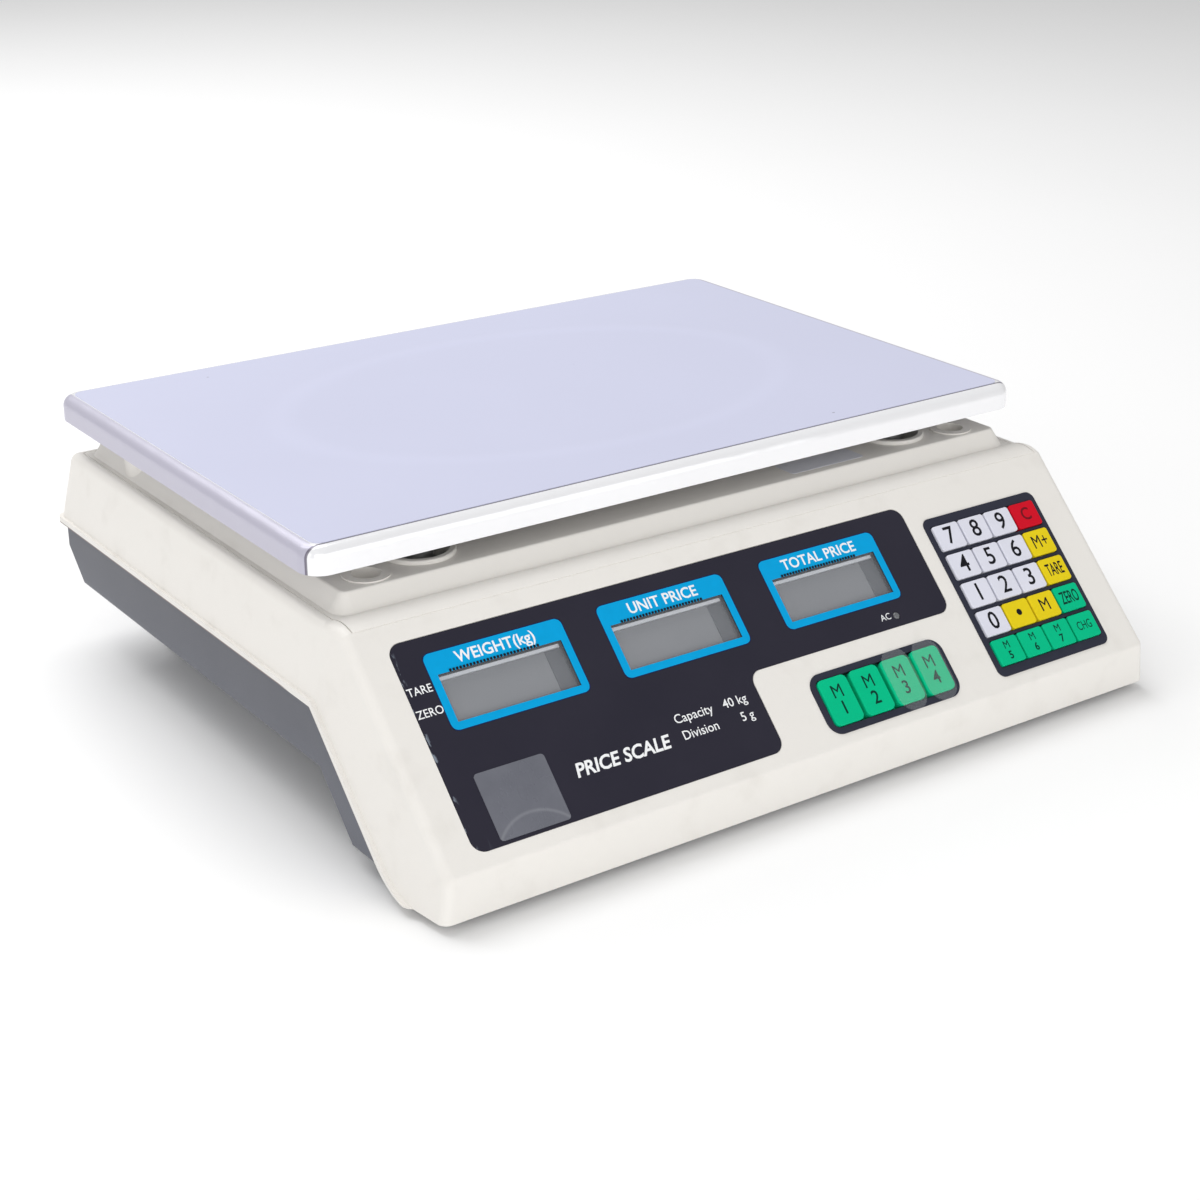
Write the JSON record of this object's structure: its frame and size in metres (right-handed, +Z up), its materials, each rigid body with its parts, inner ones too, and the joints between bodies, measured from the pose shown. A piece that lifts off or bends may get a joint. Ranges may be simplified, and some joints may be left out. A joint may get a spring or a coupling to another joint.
{
  "type": "retail price scale",
  "caption": "Counter price-computing scale: stainless platter on a load cell, sloping panel with three displays and keypads, ivory and grey case on levelling feet",
  "frame": {"origin": "Centre of the footprint on the table, below the middle of the overall box in X and Y", "axes": "+X to the operator's right, +Y away from the operator, +Z up"},
  "size_m": [0.349, 0.307, 0.111],
  "materials": {
    "ivory_abs": "fine spark texture",
    "slate_abs": "fine spark texture",
    "zinc_steel": "bright zinc",
    "plated_sheet": "zinc plated sheet",
    "cell_aluminium": "machined",
    "black_rubber": "moulded",
    "stainless": "bright finish",
    "lilac_film": "thin protective film",
    "black_overlay": "glossy printed film",
    "clear_window": "polished",
    "lcd_glass": "reflective display",
    "board_laminate": "solder mask",
    "lamp_lens": "diffused lens",
    "clear_label": "clear film",
    "bezel_abs": "fine texture",
    "switch_body": "moulded",
    "battery_case": "moulded",
    "transformer_core": "varnished laminations",
    "black_abs": "moulded",
    "vial_plastic": "clear moulding over green fluid",
    "key_white": "satin",
    "key_yellow": "satin",
    "key_green": "satin",
    "key_red": "satin"
  },
  "bodies": {
    "scale_body": {"upper_housing": "ivory_abs", "lower_housing": "slate_abs", "battery_cover": "slate_abs", "case_screws": "zinc_steel", "base_frame": "plated_sheet", "overload_stops": "zinc_steel", "load_cell": "cell_aluminium", "load_cell_screws": "zinc_steel", "front_overlay": "black_overlay", "window_lenses": "clear_window", "front_displays": "lcd_glass", "main_board": "board_laminate", "board_screws": "zinc_steel", "power_lamp": "lamp_lens", "film_label": "clear_label", "main_bezel": "bezel_abs", "memory_bezel": "bezel_abs", "key_switches": "switch_body", "battery": "battery_case", "transformer": "transformer_core", "power_inlet": "black_abs", "switch_housing": "black_abs", "level_vial": "vial_plastic", "rear_window": "clear_window", "rear_display": "lcd_glass"},
    "weigh_spider": {"spider": "plated_sheet", "cell_spacer": "cell_aluminium", "spider_screws": "zinc_steel", "post_caps": "black_rubber"},
    "platter": {"platter": "stainless", "platter_film": "lilac_film"},
    "power_rocker": {"power_rocker": "black_abs"},
    "foot_front_left": {"foot_front_left": "black_rubber"},
    "foot_front_right": {"foot_front_right": "black_rubber"},
    "foot_rear_left": {"foot_rear_left": "black_rubber"},
    "foot_rear_right": {"foot_rear_right": "black_rubber"},
    "key_7": {"key_7": "key_white"},
    "key_8": {"key_8": "key_white"},
    "key_9": {"key_9": "key_white"},
    "key_clear": {"key_clear": "key_red"},
    "key_4": {"key_4": "key_white"},
    "key_5": {"key_5": "key_white"},
    "key_6": {"key_6": "key_white"},
    "key_add": {"key_add": "key_yellow"},
    "key_1": {"key_1": "key_white"},
    "key_2": {"key_2": "key_white"},
    "key_3": {"key_3": "key_white"},
    "key_tare": {"key_tare": "key_yellow"},
    "key_0": {"key_0": "key_white"},
    "key_point": {"key_point": "key_yellow"},
    "key_memory": {"key_memory": "key_yellow"},
    "key_zero": {"key_zero": "key_green"},
    "key_m5": {"key_m5": "key_green"},
    "key_m6": {"key_m6": "key_green"},
    "key_m7": {"key_m7": "key_green"},
    "key_change": {"key_change": "key_green"},
    "key_m1": {"key_m1": "key_green"},
    "key_m2": {"key_m2": "key_green"},
    "key_m3": {"key_m3": "key_green"},
    "key_m4": {"key_m4": "key_green"}
  },
  "joints": [
    {"name": "weigh_deflection", "type": "slide", "parent": "scale_body", "child": "weigh_spider", "axis": [0, 0, -1], "range_m": [0, 0.0005], "stiffness_N_per_m": 800000, "deforming": ["load_cell"]},
    {"name": "platter_lift", "type": "slide", "parent": "weigh_spider", "child": "platter", "axis": [0, 0, 1], "range_m": [0, 0.05]},
    {"name": "rocker_tilt", "type": "hinge", "parent": "scale_body", "child": "power_rocker", "pos_m": [0.1695, 0.066, 0.0425], "axis": [0, 0, 1], "range_deg": [0, 20]},
    {"name": "foot_front_left_screw", "type": "slide", "parent": "scale_body", "child": "foot_front_left", "axis": [0, 0, 1], "range_m": [-0.006, 0.003]},
    {"name": "foot_front_right_screw", "type": "slide", "parent": "scale_body", "child": "foot_front_right", "axis": [0, 0, 1], "range_m": [-0.006, 0.003]},
    {"name": "foot_rear_left_screw", "type": "slide", "parent": "scale_body", "child": "foot_rear_left", "axis": [0, 0, 1], "range_m": [-0.006, 0.003]},
    {"name": "foot_rear_right_screw", "type": "slide", "parent": "scale_body", "child": "foot_rear_right", "axis": [0, 0, 1], "range_m": [-0.006, 0.003]},
    {"name": "key_7_press", "type": "slide", "parent": "scale_body", "child": "key_7", "axis": [0, 0.7071, -0.7071], "range_m": [0, 0.0005], "stiffness_N_per_m": 3200},
    {"name": "key_8_press", "type": "slide", "parent": "scale_body", "child": "key_8", "axis": [0, 0.7071, -0.7071], "range_m": [0, 0.0005], "stiffness_N_per_m": 3200},
    {"name": "key_9_press", "type": "slide", "parent": "scale_body", "child": "key_9", "axis": [0, 0.7071, -0.7071], "range_m": [0, 0.0005], "stiffness_N_per_m": 3200},
    {"name": "key_clear_press", "type": "slide", "parent": "scale_body", "child": "key_clear", "axis": [0, 0.7071, -0.7071], "range_m": [0, 0.0005], "stiffness_N_per_m": 3200},
    {"name": "key_4_press", "type": "slide", "parent": "scale_body", "child": "key_4", "axis": [0, 0.7071, -0.7071], "range_m": [0, 0.0005], "stiffness_N_per_m": 3200},
    {"name": "key_5_press", "type": "slide", "parent": "scale_body", "child": "key_5", "axis": [0, 0.7071, -0.7071], "range_m": [0, 0.0005], "stiffness_N_per_m": 3200},
    {"name": "key_6_press", "type": "slide", "parent": "scale_body", "child": "key_6", "axis": [0, 0.7071, -0.7071], "range_m": [0, 0.0005], "stiffness_N_per_m": 3200},
    {"name": "key_add_press", "type": "slide", "parent": "scale_body", "child": "key_add", "axis": [0, 0.7071, -0.7071], "range_m": [0, 0.0005], "stiffness_N_per_m": 3200},
    {"name": "key_1_press", "type": "slide", "parent": "scale_body", "child": "key_1", "axis": [0, 0.7071, -0.7071], "range_m": [0, 0.0005], "stiffness_N_per_m": 3200},
    {"name": "key_2_press", "type": "slide", "parent": "scale_body", "child": "key_2", "axis": [0, 0.7071, -0.7071], "range_m": [0, 0.0005], "stiffness_N_per_m": 3200},
    {"name": "key_3_press", "type": "slide", "parent": "scale_body", "child": "key_3", "axis": [0, 0.7071, -0.7071], "range_m": [0, 0.0005], "stiffness_N_per_m": 3200},
    {"name": "key_tare_press", "type": "slide", "parent": "scale_body", "child": "key_tare", "axis": [0, 0.7071, -0.7071], "range_m": [0, 0.0005], "stiffness_N_per_m": 3200},
    {"name": "key_0_press", "type": "slide", "parent": "scale_body", "child": "key_0", "axis": [0, 0.7071, -0.7071], "range_m": [0, 0.0005], "stiffness_N_per_m": 3200},
    {"name": "key_point_press", "type": "slide", "parent": "scale_body", "child": "key_point", "axis": [0, 0.7071, -0.7071], "range_m": [0, 0.0005], "stiffness_N_per_m": 3200},
    {"name": "key_memory_press", "type": "slide", "parent": "scale_body", "child": "key_memory", "axis": [0, 0.7071, -0.7071], "range_m": [0, 0.0005], "stiffness_N_per_m": 3200},
    {"name": "key_zero_press", "type": "slide", "parent": "scale_body", "child": "key_zero", "axis": [0, 0.7071, -0.7071], "range_m": [0, 0.0005], "stiffness_N_per_m": 3200},
    {"name": "key_m5_press", "type": "slide", "parent": "scale_body", "child": "key_m5", "axis": [0, 0.7071, -0.7071], "range_m": [0, 0.0005], "stiffness_N_per_m": 3200},
    {"name": "key_m6_press", "type": "slide", "parent": "scale_body", "child": "key_m6", "axis": [0, 0.7071, -0.7071], "range_m": [0, 0.0005], "stiffness_N_per_m": 3200},
    {"name": "key_m7_press", "type": "slide", "parent": "scale_body", "child": "key_m7", "axis": [0, 0.7071, -0.7071], "range_m": [0, 0.0005], "stiffness_N_per_m": 3200},
    {"name": "key_change_press", "type": "slide", "parent": "scale_body", "child": "key_change", "axis": [0, 0.7071, -0.7071], "range_m": [0, 0.0005], "stiffness_N_per_m": 3200},
    {"name": "key_m1_press", "type": "slide", "parent": "scale_body", "child": "key_m1", "axis": [0, 0.7071, -0.7071], "range_m": [0, 0.0005], "stiffness_N_per_m": 3200},
    {"name": "key_m2_press", "type": "slide", "parent": "scale_body", "child": "key_m2", "axis": [0, 0.7071, -0.7071], "range_m": [0, 0.0005], "stiffness_N_per_m": 3200},
    {"name": "key_m3_press", "type": "slide", "parent": "scale_body", "child": "key_m3", "axis": [0, 0.7071, -0.7071], "range_m": [0, 0.0005], "stiffness_N_per_m": 3200},
    {"name": "key_m4_press", "type": "slide", "parent": "scale_body", "child": "key_m4", "axis": [0, 0.7071, -0.7071], "range_m": [0, 0.0005], "stiffness_N_per_m": 3200}
  ]
}
